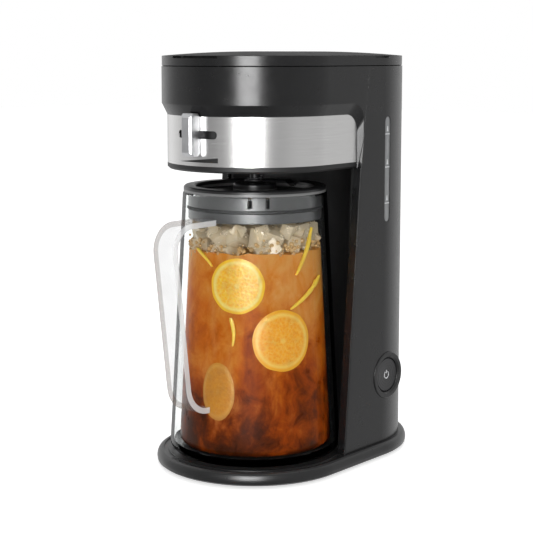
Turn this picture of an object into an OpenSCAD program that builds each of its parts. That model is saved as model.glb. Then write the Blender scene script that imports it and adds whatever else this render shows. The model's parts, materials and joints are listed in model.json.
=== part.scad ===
// Iced tea maker: a plinth and tower that carry a brew head over a clear jug.
// +X right, -Y front (jug handle side), +Z up, millimetres, standing on z = 0.

/* [Housing] */
// Half width of the housing, and radius of its round front and back
body_r = 77; // [74:0.5:84]
// Distance from the jug axis back to the centre of the round rear
rear_gap = 78.5; // [74:0.5:92]
// Wall of the moulded shells
wall = 2.4; // [1.8:0.1:3]
// Height of the plain housing between the shoulder and the lid
housing_h = 30; // [26:0.5:36]
// Place of the jug axis along the depth
jug_y = -26.25; // [-32:0.25:-22]

/* [Plinth] */
// Height of the rubber feet
foot_h = 2; // [1.5:0.5:4]
// Height of the plinth above the feet
plinth_h = 10.5; // [10:0.5:16]
// How far the foot of the plinth flares past the housing
flare = 6.5; // [5:0.5:10]
// How far the top edge of the plinth lies outside the housing
ledge = 3; // [2:0.5:4]

/* [Head] */
// Room between the rim of the jug and the brew head
head_room = 19.9; // [18:0.1:26]
// Height of the dark rim under the steel band
rim_h = 5; // [3:0.5:8]
// Height of the steel band
band_h = 39.5; // [36:0.5:44]
// Thickness of the steel band
band_t = 0.8; // [0.5:0.1:1.5]
// How far the band lies inside the housing above it
band_inset = 4.4; // [3:0.1:6]
// Height of the slanted shoulder above the band
shoulder_h = 9; // [5:0.5:12]

/* [Tower front] */
// Front edge of the tower behind the jug axis, at the plinth
front_low = 25.2; // [22:0.2:28]
// Front edge of the tower behind the jug axis, under the head
front_high = 45.2; // [40:0.2:52]
// Width of the front face of each tower wall
lip_w = 8; // [6:0.2:8.2]
// How far the recess reaches back past the jug axis before it rounds
recess_run = 16; // [12:1:20]

/* [Lid] */
// Height of the lid's rim
lid_h = 8.5; // [7:0.1:11]
// Rise of the crown over the rim
crown_h = 3.6; // [2:0.2:6]
// How far the hinge line lies in front of the back of the housing
hinge_in = 16; // [14:0.5:20]
// Radius of the hinge pin
pin_r = 1.5; // [1.2:0.1:2]

/* [Jug] */
// How far the foot of the jug lies inside the side of the housing
side_room = 5; // [4.8:0.2:8]
// Outer radius of the jug at its rim
jug_rim_r = 60.2; // [57:0.2:64]
// Height of the jug without its lid
jug_h = 218.4; // [200:0.2:240]
// Wall of the jug
jug_wall = 3.2; // [2.4:0.1:4]
// Width of the handle band
handle_w = 22; // [16:0.5:28]
// Thickness of the handle band
handle_t = 4.6; // [3.6:0.2:7]
// Reach of the handle from the jug axis, at its top
handle_reach = 109.5; // [104:0.5:118]

/* [Controls] */
// Width of the strength knob
knob_w = 10.8; // [8:0.2:14]
// Height of the strength knob
knob_h = 34; // [26:0.5:36]
// How far the strength knob stands out from the band
knob_out = 11; // [8:0.5:16]
// Half of the angle that the slot covers
slot_half = 14; // [12:0.2:18]
// Height of the slot
slot_h = 6.4; // [5:0.2:9]
// Radius of the ring round the power button
ring_r = 20; // [18:0.5:22]
// Radius of the power button
button_r = 15; // [12:0.5:16]
// Height of the power button above the table
button_z = 70; // [64:1:76]
// Width of the water level window
window_w = 8.2; // [7:0.2:12]
// Length of the water level window
window_h = 89; // [80:1:92]

/* [Hidden] */
$fn = 96;
fine = 192;
gap = 0.3;
fit = 0.06;
seat = 0.05;
cut = 60;
rear_y = jug_y + rear_gap;
back_y = rear_y + body_r;
plinth_z = foot_h + plinth_h;
jug_foot_r = body_r - side_room;
jug_z = plinth_z + 0.2;
jug_top = jug_z + jug_h;
head_z = jug_top + head_room;
band_z = head_z + rim_h;
band_top = band_z + band_h;
shoulder_z = band_top + shoulder_h;
seam_z = shoulder_z + housing_h;
lid_top = seam_z + lid_h;
band_r = body_r - band_inset;
skin_r = body_r - wall;
recess_r = skin_r - wall - gap;
front_slope = (front_high - front_low) / (head_z - plinth_z);
front_edge = 0.9;
seam_lean = 10.5;
wrap_back = 44.5;
slant_back = 3.4;
corner_r = 14;
deck_z = seam_z - 18.5;
deck_t = 2.5;
chamber_room = 15.2;
well_r = band_r - chamber_room;
button_y = jug_y + 85.5;
window_y = jug_y + 82.5;
window_z = head_z - 47.7;
tank_front = 78.5;
tank_low = button_z + ring_r + 10;
tank_high = deck_z - seat;
tank_wall = 2;
foot_r = 11;
basket_top = deck_z + deck_t;
basket_r = well_r - 1.4;
basket_low = head_z + 14;
basket_floor_r = basket_r - 18.6;
outlet_r = 13;
valve_r = 4;
valve_drop = head_z - 12.4;
valve_foot_r = 8.5;
washer_t = 2;
washer_z = basket_low + wall + 1 + seat;
hinge_y = back_y - hinge_in;
barrel_r = 3.2;
hinge_z = lid_top - barrel_r - 0.2;
knuckle_w = 12;
barrel_half = 30;
cap_back = 6.4;
jug_round = 7;
jug_floor = 5;
rim_chamfer = 1.2;
taper = (jug_foot_r - jug_rim_r) / (jug_h - jug_round - rim_chamfer);
flange_t = 5;
flange_r = jug_rim_r - 0.7;
collar_low = jug_top - 22;
collar_r = jug_rim_r - jug_wall - 1.3;
collar_t = 2;
disc_r = 18;
disc_top = valve_drop - 0.6;
knob_z = band_z + 25;
slider_track = 3.2;
ring_proud = 0.9;
ring_back = body_r - 8.5;
button_in = 0.8;
button_depth = 9;
board_x = body_r - 23.5;
board_h = 2 * (ring_r + 8);
shutter_r = band_r - 9.7;
heater_z = plinth_z + 16;
heater_r = 38;
heater_y = rear_y + 20.5;
stub_h = 13;
stub_y = heater_y - 8;
heater_pipe = 6.5;
hose_r = 5;
hose_bore = 3.5;
riser_x = hose_r + 2.5 - skin_r;
riser_y = jug_y + tank_front - hose_r - 1.5;
bend_r = 9;
spout_z = deck_z + 12;
spray_in = 30;
gland_z = 34;
gland_out = 4;
screw_r = 2.6;

// Points of an arc from angle a0 to a1
function arc(x, y, r, a0, a1, n = 10) =
    [for (i = [0 : n]) let (a = a0 + (a1 - a0) * i / n) [x + r * cos(a), y + r * sin(a)]];

// Front edge of the tower at height z, as a place along the depth
function front_at(z) = jug_y + front_low + front_slope * (z - plinth_z);

// Outer radius of the jug at height z
function jug_r(z) = jug_foot_r - taper * (z - jug_z - jug_round);

// Outline with straight sides and a round front and back
module track(r, back = rear_y) {
    translate([0, jug_y]) circle(r, $fn = fine);
    translate([0, back]) circle(r, $fn = fine);
    translate([-r, jug_y]) square([2 * r, back - jug_y]);
}

module slab(r, z0, z1) {
    translate([0, 0, z0]) linear_extrude(z1 - z0) track(r);
}

// Solid whose edge follows a profile of [radius, height] points all round the track
module moulded(profile) {
    for (y = [jug_y, rear_y]) translate([0, y, 0]) rotate_extrude($fn = fine) polygon(profile);
    translate([0, rear_y, 0]) rotate([90, 0, 0]) linear_extrude(rear_y - jug_y) {
        polygon(profile);
        mirror([1, 0]) polygon(profile);
    }
}

// Block that reaches right across the part, from a side outline of [depth, height] points
module across(outline, half = 120) {
    rotate([90, 0, 90]) translate([0, 0, -half]) linear_extrude(2 * half) polygon(outline);
}

// Outline of the jug recess, grown by a margin
module recess(grow = 0) {
    back = jug_y + recess_run;
    translate([0, back]) circle(recess_r + grow, $fn = fine);
    translate([-recess_r - grow, back - 2 * cut]) square([2 * (recess_r + grow), 2 * cut]);
}

// Everything behind the tower's front edge, up to the seam under the head shell
module behind_front(shift = 0) {
    across([
        [front_at(plinth_z) + shift, plinth_z], [front_at(head_z) + shift, head_z],
        [jug_y + front_high + seam_lean + shift, seam_z], [rear_y + 2 * cut, seam_z],
        [rear_y + 2 * cut, plinth_z]
    ]);
}

// Places of the feet and of the cover screws
function foot_spots() =
    [for (x = [-1, 1], y = [jug_y + 39 - body_r, rear_y - 39 + body_r]) [x * (body_r - 30), y]];
function screw_spots() = [for (x = [-1, 1], y = [jug_y + 8, rear_y - 8]) [x * (body_r - 17), y]];

module plinth() {
    top_r = body_r + ledge;
    foot_edge = body_r + flare;
    hollow_top = plinth_z - wall;
    channel = 0.9;
    color("#232426") difference() {
        moulded(concat(
            [[0, foot_h], [foot_edge - 2.5, foot_h], [foot_edge - 0.4, foot_h + 1.6]],
            [for (a = [0 : 12 : 84]) [top_r + (flare - ledge) * cos(a), foot_h + 4 + (plinth_h - 4.4) * sin(a)]],
            [[top_r - 0.4, plinth_z], [0, plinth_z]]));
        slab(body_r - 4, foot_h - 1, foot_h + 2);
        difference() {
            slab(body_r - 9, foot_h, hollow_top);
            for (p = screw_spots()) translate([p.x, p.y, 0]) cylinder(r = screw_r + 2.4, h = plinth_z);
        }
        for (p = screw_spots()) translate([p.x, p.y, 0]) cylinder(r = screw_r - 0.5, h = hollow_top);
        translate([0, jug_y, plinth_z - channel]) difference() {
            cylinder(r = body_r + 0.8, h = 2, $fn = fine);
            translate([0, 0, -1]) cylinder(r = jug_foot_r + 2, h = 4, $fn = fine);
            translate([-2 * cut, front_low - 2, -1]) cube([4 * cut, 2 * cut, 4]);
        }
    }
}

module plinth_cover() {
    color("#1b1c1e") difference() {
        slab(body_r - 4 - gap, foot_h, foot_h + 2);
        for (p = foot_spots()) translate([p.x, p.y, 0]) cylinder(r = 4, h = 2 * foot_h + 2);
        for (p = screw_spots()) translate([p.x, p.y, 0]) cylinder(r = screw_r - 0.4, h = 2 * foot_h + 2);
        for (x = [-30 : 10 : 30]) translate([x, rear_y + 12, foot_h + 1])
            cube([4, 30, 4], center = true);
    }
}

module rubber_feet() {
    color("#17181a") for (p = foot_spots()) translate([p.x, p.y, 0]) {
        rotate_extrude() polygon([[0, 0], [foot_r - 0.8, 0], [foot_r, 0.8], [foot_r, foot_h],
            [4 - fit, foot_h], [4 - fit, foot_h + 2], [0, foot_h + 2]]);
    }
}

module cover_screws() {
    color("#9a9da1") for (p = screw_spots()) translate([p.x, p.y, foot_h - 1.2]) difference() {
        union() {
            cylinder(r1 = screw_r, r2 = screw_r + 0.4, h = 1.2);
            cylinder(r = screw_r - 0.5 - fit, h = plinth_h - wall);
        }
        for (a = [0, 90]) rotate(a) cube([3, 0.8, 1.6], center = true);
    }
}

module tower_shell() {
    color("#2e3033") difference() {
        union() {
            intersection() {
                behind_front();
                difference() {
                    slab(body_r, plinth_z, seam_z);
                    slab(skin_r, plinth_z - 1, seam_z + 1);
                }
            }
            intersection() {
                difference() {
                    behind_front();
                    behind_front(wall);
                }
                difference() {
                    slab(skin_r + seat, plinth_z, head_z - seat);
                    slab(body_r - lip_w, plinth_z - 1, head_z + 1);
                }
            }
            difference() {
                intersection() {
                    lid_solid(body_r + 0.3);
                    translate([-cut * 2, hinge_y + cap_back, seam_z]) cube([4 * cut, cut, 4 * lid_h]);
                }
                slab(skin_r, seam_z - 1, lid_top - wall);
            }
            intersection() {
                slab(body_r - 1, seam_z - 2, seam_z - gap);
                translate([-cut * 2, hinge_y - barrel_r - 4, seam_z - 2])
                    cube([4 * cut, barrel_r + cap_back + 5, 2]);
            }
            intersection() {
                slab(body_r - 1, seam_z - 3, lid_top);
                hinge_knuckles();
            }
        }
        front_chamfer();
        window_cut(0);
        translate([cut, button_y, button_z]) rotate([0, 90, 0]) cylinder(r = ring_r + seat, h = cut);
        translate([0, back_y - 2 * wall, gland_z]) rotate([-90, 0, 0]) cylinder(r = 6, h = 4 * wall);
        for (x = [-22 : 4 : 22]) translate([x - 1, rear_y + skin_r - 8, plinth_z + 52])
            cube([2, 20, 22]);
        hinge_bore();
    }
}

// Narrow slant cut along both front edges of the tower, from the plinth to the head
module front_chamfer() {
    side = front_edge * sqrt(2);
    rise = (head_z - plinth_z) / cos(atan(front_slope));
    for (x = [-body_r, body_r]) translate([x, front_at(plinth_z), plinth_z])
        rotate([-atan(front_slope), 0, 0]) rotate(45) translate([-side / 2, -side / 2, -1])
            cube([side, side, rise + 1]);
}

// Long slot with round ends through the right wall, for the level window
module window_cut(shrink) {
    w = window_w / 2 - shrink;
    translate([0, window_y, 0]) {
        for (z = [window_z + window_w / 2, window_z + window_h - window_w / 2])
            translate([cut, 0, z]) rotate([0, 90, 0]) cylinder(r = w, h = cut);
        translate([cut, -w, window_z + window_w / 2]) cube([cut, 2 * w, window_h - window_w]);
    }
}

module recess_panel() {
    color("#1d1e20") difference() {
        intersection() {
            behind_front(wall + seat);
            translate([0, 0, plinth_z]) linear_extrude(head_z + wall - plinth_z) recess(wall);
            slab(skin_r - seat, plinth_z, head_z + wall);
        }
        translate([0, 0, plinth_z - 1]) linear_extrude(head_z - plinth_z + 1) recess();
        translate([-2 * cut, jug_y - 2 * cut, head_z - seat])
            cube([4 * cut, 2 * cut + wrap_back + gap, cut]);
        translate([0, jug_y, head_z - seat]) cylinder(r = well_r + wall + seat, h = cut);
    }
}

// Place of the round corner of the band's field, and one end of the slant round it
module field_end(x, dy, dz, r) {
    translate([x, 0, 0]) rotate([90, 0, 90]) linear_extrude(0.01) {
        translate([jug_y + wrap_back - corner_r + dy, band_top - corner_r + dz]) circle(r, $fn = 48);
        translate([jug_y - 2 * cut, head_z - cut]) square([cut, 10]);
        translate([jug_y - 2 * cut, band_top + dz - 1]) square([1, 1]);
        translate([jug_y + wrap_back + dy - 1, head_z - cut]) square([1, 1]);
    }
}

// Cut in the side of the head shell: the band's field, which widens outwards from the
// band to the skin so that its edge is a slant that follows the round corner
module band_field() {
    hull() {
        field_end(band_r, 0, 0, corner_r);
        field_end(body_r, slant_back, shoulder_h, corner_r);
    }
    hull() {
        field_end(band_r - band_t, 0, 0, corner_r);
        field_end(band_r, 0, 0, corner_r);
    }
    hull() {
        field_end(body_r, slant_back, shoulder_h, corner_r);
        field_end(body_r + 1, slant_back, shoulder_h, corner_r);
    }
}

module head_shell() {
    shell = [[0, band_top], [band_r, band_top], [body_r, shoulder_z], [body_r, seam_z], [0, seam_z]];
    drop = seam_z - shoulder_z;
    color("#2e3033") difference() {
        union() {
            moulded(shell);
            slab(body_r, head_z, seam_z);
        }
        behind_front(-gap / 3);
        difference() {
            translate([-2 * cut, jug_y - 2 * cut, head_z - 1]) cube([4 * cut, 2 * cut, shoulder_z - head_z + 1]);
            moulded(shell);
        }
        for (s = [0, 1]) mirror([s, 0, 0]) difference() {
            band_field();
            translate([0, jug_y - 3 * cut, band_top]) cube([2 * cut, 3 * cut, shoulder_h + 1]);
        }
        intersection() {
            slab(band_r - band_t, head_z - 1, band_top);
            translate([-2 * cut, jug_y - 2 * cut, 0]) cube([4 * cut, 2 * cut + wrap_back, 10 * cut]);
        }
        slab(band_r - wall, head_z - 1, band_top + wall);
        slab(skin_r, shoulder_z + wall / 2, seam_z + 1);
        translate([0, 0, band_top + wall]) linear_extrude(drop) track(band_r - wall + 1);
    }
}

module brew_chamber() {
    back = jug_y + wrap_back;
    color("#151617") difference() {
        union() {
            moulded_front([[0, head_z], [band_r - 1.6, head_z], [band_r, head_z + 1.6],
                [band_r, band_z - seat], [band_r - band_t - seat, band_z - seat],
                [band_r - band_t - seat, band_top - seat], [0, band_top - seat]]);
            translate([0, jug_y, head_z]) cylinder(r = well_r + wall, h = deck_z - head_z - seat);
        }
        translate([0, jug_y, basket_low - 4]) cylinder(r = well_r, h = cut * 2);
        translate([0, jug_y, head_z - 1]) cylinder(r = outlet_r, h = cut);
        difference() {
            translate([0, 0, band_z + 1]) linear_extrude(band_h) intersection() {
                track(band_r - band_t - wall, back - body_r / 2);
                translate([-2 * cut, jug_y - 2 * cut]) square([4 * cut, 2 * cut + wrap_back - wall]);
            }
            translate([0, jug_y, head_z]) cylinder(r = well_r + wall, h = cut * 2);
            translate([-2 * cut, jug_y - 2 * cut, band_top - wall]) cube([4 * cut, 5 * cut, 2 * wall]);
        }
        slider_slot(band_r - wall - 6, slot_half, slot_h);
    }
}

// Like moulded, but only the front half and the sides as far as the band wraps
module moulded_front(profile) {
    intersection() {
        moulded(profile);
        translate([-2 * cut, jug_y - 2 * cut, 0]) cube([4 * cut, 2 * cut + wrap_back, 10 * cut]);
    }
}

// Slot in the front of the band, round at both ends
module slider_slot(r0, half, height) {
    translate([0, jug_y, knob_z]) {
        for (a = [-half, half]) rotate(a) translate([0, -r0, 0]) rotate([90, 0, 0])
            cylinder(r = height / 2, h = 2 * cut - r0);
        intersection() {
            translate([0, 0, -height / 2]) difference() {
                cylinder(r = 2 * cut, h = height);
                translate([0, 0, -1]) cylinder(r = r0, h = height + 2);
            }
            linear_extrude(cut, center = true)
                polygon([[0, 0], 2 * cut * [-sin(half), -cos(half)], 2 * cut * [sin(half), -cos(half)]]);
        }
    }
}

module steel_band() {
    color("#b9bbbd") difference() {
        intersection() {
            slab(band_r, band_z, band_top - seat);
            union() {
                translate([-2 * cut, jug_y - 2 * cut, band_z])
                    cube([4 * cut, 2 * cut + wrap_back - corner_r - gap, band_h]);
                translate([-2 * cut, jug_y - 2 * cut, band_z])
                    cube([4 * cut, 2 * cut + wrap_back - gap, band_h - corner_r]);
                translate([0, jug_y + wrap_back - corner_r - gap, band_top - corner_r]) rotate([0, 90, 0])
                    cylinder(r = corner_r, h = 4 * cut, center = true);
            }
        }
        slab(band_r - band_t, band_z - 1, band_top + 1);
        slider_slot(well_r, slot_half, slot_h);
    }
}

module top_deck() {
    color("#1d1e20") difference() {
        slab(skin_r - gap, deck_z, deck_z + deck_t);
        translate([0, jug_y, deck_z - 1]) cylinder(r = well_r + seat, h = deck_t + 2);
        translate([0, 0, deck_z - 1]) linear_extrude(deck_t + 2) tank_plan(9);
        translate([riser_x, riser_y, deck_z - 1]) cylinder(r = hose_r + gap, h = deck_t + 2);
    }
}

// Plan of the water tank: the back of the tower behind the recess, drawn in by a margin
module tank_plan(inset) {
    difference() {
        track(skin_r - gap - inset);
        recess(wall + gap + inset);
        translate([-2 * cut, jug_y - 2 * cut]) square([4 * cut, 2 * cut + tank_front + inset]);
    }
}

module water_tank() {
    color("#c9ccce") difference() {
        translate([0, 0, tank_low]) linear_extrude(tank_high - tank_low) tank_plan(0);
        translate([0, 0, tank_low + tank_wall]) linear_extrude(tank_high) tank_plan(tank_wall);
        translate([heater_r, stub_y, tank_low - 1]) cylinder(r = hose_bore, h = 10);
    }
}

module level_window() {
    color("#b7babd") intersection() {
        window_cut(seat);
        difference() {
            slab(body_r - 0.5, window_z - 1, window_z + window_h + 1);
            slab(skin_r - gap / 2, window_z - 2, window_z + window_h + 2);
        }
    }
}

module heater_tube() {
    color("#a7a9ab") translate([0, heater_y, heater_z]) difference() {
        union() {
            rotate_extrude(angle = 180) translate([heater_r, 0]) circle(heater_pipe);
            for (x = [-heater_r, heater_r]) translate([x, 0, 0]) {
                rotate([90, 0, 0]) cylinder(r = heater_pipe, h = 13);
                translate([0, stub_y - heater_y, 0]) cylinder(r = hose_r, h = stub_h);
            }
        }
        rotate_extrude(angle = 180) translate([heater_r, 0]) circle(heater_pipe - 2.5);
        for (x = [-heater_r, heater_r]) translate([x, 0, 0]) {
            rotate([90, 0, 0]) cylinder(r = heater_pipe - 2.5, h = 11);
            translate([0, stub_y - heater_y, 0]) cylinder(r = hose_bore, h = cut);
        }
    }
}

module heater_plate() {
    top = heater_z + heater_pipe + seat;
    plate_t = 3;
    leg_r = 2.5;
    leg_out = heater_r + 10;
    legs = [20, 65, 160];
    color("#8f9295") translate([0, heater_y, 0]) {
        translate([0, 0, top]) linear_extrude(plate_t) {
            intersection() {
                circle(heater_r + 7);
                translate([-cut, -2.5]) square([2 * cut, cut]);
            }
            for (a = legs) rotate(a) {
                translate([leg_out, 0]) circle(leg_r + 1.5);
                translate([heater_r, -leg_r]) square([leg_out - heater_r, 2 * leg_r]);
            }
        }
        for (a = legs) rotate(a) translate([leg_out, 0, plinth_z + seat])
            cylinder(r = leg_r, h = top - plinth_z - seat + plate_t / 2);
    }
}

module thermostat() {
    color("#3a3a3c") translate([0, heater_y + 22, heater_z + heater_pipe + 3 + 2 * seat]) {
        cylinder(r = 8, h = 7);
        translate([-12, -3, 0]) cube([24, 6, 1.5]);
    }
}

module check_valve() {
    color("#e2e2de") translate([heater_r, stub_y, heater_z + stub_h + seat]) difference() {
        union() {
            cylinder(r = 6.5, h = 3);
            translate([0, 0, 3]) cylinder(r = 7.5, h = 7);
            translate([0, 0, 10]) cylinder(r = 6.5, h = 3);
        }
        translate([0, 0, -1]) cylinder(r = 3, h = 5);
        translate([0, 0, 7]) cylinder(r = 3, h = 8);
    }
}

module inlet_hose() {
    z = heater_z + stub_h + 13 + 2 * seat;
    color("#d8d8d4") translate([heater_r, stub_y, z]) difference() {
        cylinder(r = hose_r, h = tank_low - z - seat);
        translate([0, 0, -1]) cylinder(r = hose_bore, h = tank_low);
    }
}

// Quarter bend of round tube that starts upwards at the origin and ends along +X
module bend(r) {
    translate([bend_r, 0, 0]) rotate([90, 0, 0]) rotate(90)
        rotate_extrude(angle = 90) translate([bend_r, 0]) circle(r);
}

// Hose that runs from the heater across to the tower's left side and up to the spray spout
module riser_tube() {
    span = [riser_x + heater_r, riser_y - stub_y];
    low = heater_z + stub_h + seat;
    rise = 1;
    top = spout_z - 6;
    module run(r, more) {
        translate([-heater_r, stub_y, 0]) rotate(atan2(span.y, span.x)) {
            translate([0, 0, low - more]) cylinder(r = r, h = rise + more);
            translate([0, 0, low + rise]) bend(r);
            translate([bend_r, 0, low + rise + bend_r]) rotate([0, 90, 0])
                cylinder(r = r, h = norm(span) - 2 * bend_r);
            translate([norm(span), 0, low + rise + 2 * bend_r]) rotate([0, 180, 0]) bend(r);
            translate([norm(span), 0, low + rise + 2 * bend_r])
                cylinder(r = r, h = top - low - rise - 2 * bend_r + more);
        }
    }
    color("#dcdcd8") difference() {
        run(hose_r, 0);
        run(hose_bore, 1);
    }
}

// Spout on top of the riser that reaches in over the brew basket
module spray_spout() {
    away = [-riser_x, jug_y - riser_y];
    reach = norm(away) - spray_in;
    color("#2a2b2d") translate([riser_x, riser_y, spout_z]) rotate(atan2(away.y, away.x)) difference() {
        union() {
            translate([0, 0, seat - 6]) cylinder(r = hose_r + 1.5, h = 12.5);
            rotate([0, 90, 0]) cylinder(r = hose_r, h = reach);
            translate([reach, 0, -7]) cylinder(r = hose_r + 2, h = 13.2);
        }
        translate([0, 0, -7]) cylinder(r = hose_bore, h = 8);
        rotate([0, 90, 0]) cylinder(r = hose_bore - 0.5, h = reach);
        translate([reach, 0, -8]) cylinder(r = hose_r - 1, h = 12);
    }
}

module brew_basket() {
    color("#26272a") translate([0, jug_y, 0]) difference() {
        rotate_extrude($fn = fine) polygon([
            [valve_r + fit, basket_low], [basket_floor_r, basket_low], [basket_r - 3, basket_top - 30],
            [basket_r, basket_top], [well_r + 3, basket_top + seat], [well_r + 3, basket_top + 2],
            [basket_r - wall + 0.4, basket_top + 2], [basket_r - wall - 3, basket_top - 29],
            [basket_floor_r - 1.6, basket_low + wall], [valve_r + 5, basket_low + wall],
            [valve_r + 5, basket_low + wall + 1], [valve_r + fit, basket_low + wall + 1]]);
        for (a = [30 : 60 : 330]) rotate(a) translate([valve_r + 3.6, 0, basket_low - 1])
            cylinder(r = 1.2, h = 8, $fn = 24);
    }
}

module mesh_filter() {
    top = basket_top + 2 + seat;
    low = basket_low + 9;
    floor_r = basket_floor_r - 6;
    color("#c3a560") translate([0, jug_y, 0]) difference() {
        union() {
            rotate_extrude($fn = fine) polygon([
                [0, low], [floor_r, low], [basket_r - 7, basket_top - 26], [basket_r - 4, top],
                [basket_r + 1, top], [basket_r + 1, top + 1.4], [basket_r - 5, top + 1.4],
                [basket_r - 7.8, basket_top - 26], [floor_r - 0.4, low + 0.8], [0, low + 0.8]]);
        }
        for (a = [0 : 20 : 340], z = [31, 21, 13, 5]) rotate(a) translate([floor_r - 8, 0, basket_top - z])
            rotate([0, 90, 0]) cylinder(r = 2.4, h = basket_r, $fn = 24);
    }
}

module drip_valve() {
    color("#8c8f92") translate([0, jug_y, 0]) rotate_extrude($fn = fine) polygon([
        [0, valve_drop], [valve_foot_r - 1, valve_drop], [valve_foot_r, valve_drop + 1],
        [valve_foot_r, valve_drop + 2], [valve_r, valve_drop + 2], [valve_r, washer_z + washer_t],
        [0, washer_z + washer_t]]);
}

module valve_washer() {
    color("#c9c9c4") translate([0, jug_y, washer_z]) rotate_extrude($fn = fine) polygon([
        [valve_r + seat, 0], [9.6, 0], [9.6, washer_t - 0.6], [9, washer_t], [valve_r + seat, washer_t]]);
}

// One unbroken round wire wound about the Z axis, with its ends wound flat
module coil(r, wire, z0, z1, turns) {
    sides = 6;
    per_turn = 14;
    n = turns * per_turn;
    rise = z1 - z0 - 2 * wire;
    function climb(t) = z0 + wire + rise * min(1, max(0, (t * turns - 0.75) / (turns - 1.5)));
    points = [for (i = [0 : n], j = [0 : sides - 1])
        let (t = i / n, a = 360 * turns * t, b = 360 * j / sides, q = r + wire * cos(b))
        [q * cos(a), q * sin(a), climb(t) + wire * sin(b)]];
    skin = [for (i = [0 : n - 1], j = [0 : sides - 1], k = [0, 1])
        let (j2 = (j + 1) % sides, p = i * sides, q = p + sides)
        k == 0 ? [p + j, p + j2, q + j2] : [p + j, q + j2, q + j]];
    polyhedron(concat([for (p = points) p]), concat(
        [[for (j = [sides - 1 : -1 : 0]) j]], [[for (j = [0 : sides - 1]) n * sides + j]], skin));
}

module valve_spring() {
    color("#b5b7ba") translate([0, jug_y, 0])
        coil(valve_r + 2, 0.5, valve_drop + 2 + seat, basket_low - seat, 6);
}

// Everything of the lid and the rear cap above the seam, under one crown
module lid_solid(r = body_r) {
    moulded(concat([[0, seam_z + gap], [r - 0.8, seam_z + gap], [r - 0.3, seam_z + gap + 0.5],
            [r - 0.3, lid_top]],
        [for (i = [1 : 8]) let (q = (r - 0.3) * (1 - i / 8)) [q, lid_top + crown_h * (1 - pow(q / r, 2))]]));
}

// Region in front of the hinge, for the lid
module before_hinge() {
    front = jug_y - 2 * cut;
    translate([-2 * cut, front, 0]) cube([4 * cut, hinge_y - barrel_r - 0.6 - front, 10 * cut]);
}

module lid_rim() {
    color("#2e3033") difference() {
        union() {
            intersection() {
                lid_solid();
                before_hinge();
                translate([-2 * cut, -3 * cut, 0]) cube([4 * cut, 6 * cut, lid_top - seat]);
            }
            translate([-barrel_half, hinge_y, hinge_z]) rotate([0, 90, 0])
                cylinder(r = barrel_r, h = 2 * barrel_half);
            translate([-barrel_half, hinge_y - barrel_r - 2, hinge_z - 2.4])
                cube([2 * barrel_half, barrel_r + 2, 4.8]);
        }
        intersection() {
            slab(skin_r - 0.3, seam_z - 1, lid_top - wall);
            translate([-2 * cut, -3 * cut, 0])
                cube([4 * cut, 3 * cut + hinge_y - barrel_r - 0.6 - wall, 10 * cut]);
        }
        finger_slots();
        hinge_bore();
    }
}

// Grip slots under the crown: a long one in front and a short one on each side
module finger_slots() {
    slot = 1.9;
    translate([-24, jug_y - body_r - 1, lid_top - slot]) cube([48, 16, slot + 1]);
    for (x = [-body_r - 1, body_r - 4]) translate([x, jug_y + 64, lid_top - slot]) cube([5, 20, slot + 1]);
}

module lid_crown() {
    color("#101112") intersection() {
        lid_solid();
        before_hinge();
        translate([-2 * cut, -3 * cut, lid_top]) cube([4 * cut, 6 * cut, cut]);
    }
}

module lid_seal() {
    z = lid_top - wall - seat;
    color("#55575a") intersection() {
        difference() {
            slab(skin_r - 2, z - 3, z);
            slab(skin_r - 5, z - 4, z + 1);
        }
        translate([-2 * cut, -3 * cut, 0]) cube([4 * cut, 3 * cut + hinge_y - barrel_r - 6, 10 * cut]);
    }
}

module hinge_bore() {
    translate([0, hinge_y, hinge_z]) rotate([0, 90, 0])
        cylinder(r = pin_r + fit, h = 4 * cut, center = true);
}

// Outer knuckles on the tower, one beyond each end of the lid's barrel
module hinge_knuckles() {
    for (s = [0, 1]) mirror([s, 0, 0]) translate([barrel_half + gap, 0, 0]) {
        translate([0, hinge_y, hinge_z]) rotate([0, 90, 0]) cylinder(r = barrel_r, h = knuckle_w);
        translate([0, hinge_y, seam_z - 2]) cube([knuckle_w, cap_back + 1, hinge_z - seam_z + 3]);
    }
}

module hinge_pins() {
    color("#b5b7ba") for (s = [0, 1]) mirror([s, 0, 0])
        translate([barrel_half - 10, hinge_y, hinge_z]) rotate([0, 90, 0])
            cylinder(r = pin_r, h = 10 + gap + knuckle_w, $fn = 48);
}

module strength_knob() {
    r0 = band_r + gap;
    r1 = r0 + knob_out;
    bevel = 3.2;
    half = knob_h / 2;
    color("#c4c6c9") translate([0, jug_y, knob_z]) {
        intersection() {
            rotate([90, 0, -90]) translate([0, 0, -knob_w / 2]) linear_extrude(knob_w) polygon([
                [r0, -half + 2], [r0 + 2, -half], [r1 - bevel, -half], [r1, bevel - half],
                [r1, half - bevel], [r1 - bevel, half], [r0 + 2.4, half], [r0, half - 3]]);
            translate([0, 0, -knob_h]) linear_extrude(2 * knob_h) polygon([
                [-knob_w / 2, -r0 + 1], [knob_w / 2, -r0 + 1], [knob_w / 2, 1.6 - r1],
                [knob_w / 2 - 1.6, -r1], [1.6 - knob_w / 2, -r1], [-knob_w / 2, 1.6 - r1]]);
        }
        translate([-slider_track / 2, -r0 - 0.5, -slot_h / 2 + 0.6])
            cube([slider_track, r0 + 0.5 - shutter_r - 2 - seat, slot_h - 1.2]);
    }
}

module strength_shutter() {
    color("#2a2b2d") translate([0, jug_y, knob_z]) intersection() {
        translate([0, 0, -9]) difference() {
            cylinder(r = shutter_r + 2, h = 18, $fn = fine);
            translate([0, 0, -1]) cylinder(r = shutter_r, h = 20, $fn = fine);
        }
        linear_extrude(cut, center = true)
            polygon([[0, 0], 2 * cut * [-sin(20), -cos(20)], 2 * cut * [sin(20), -cos(20)]]);
    }
}

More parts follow.
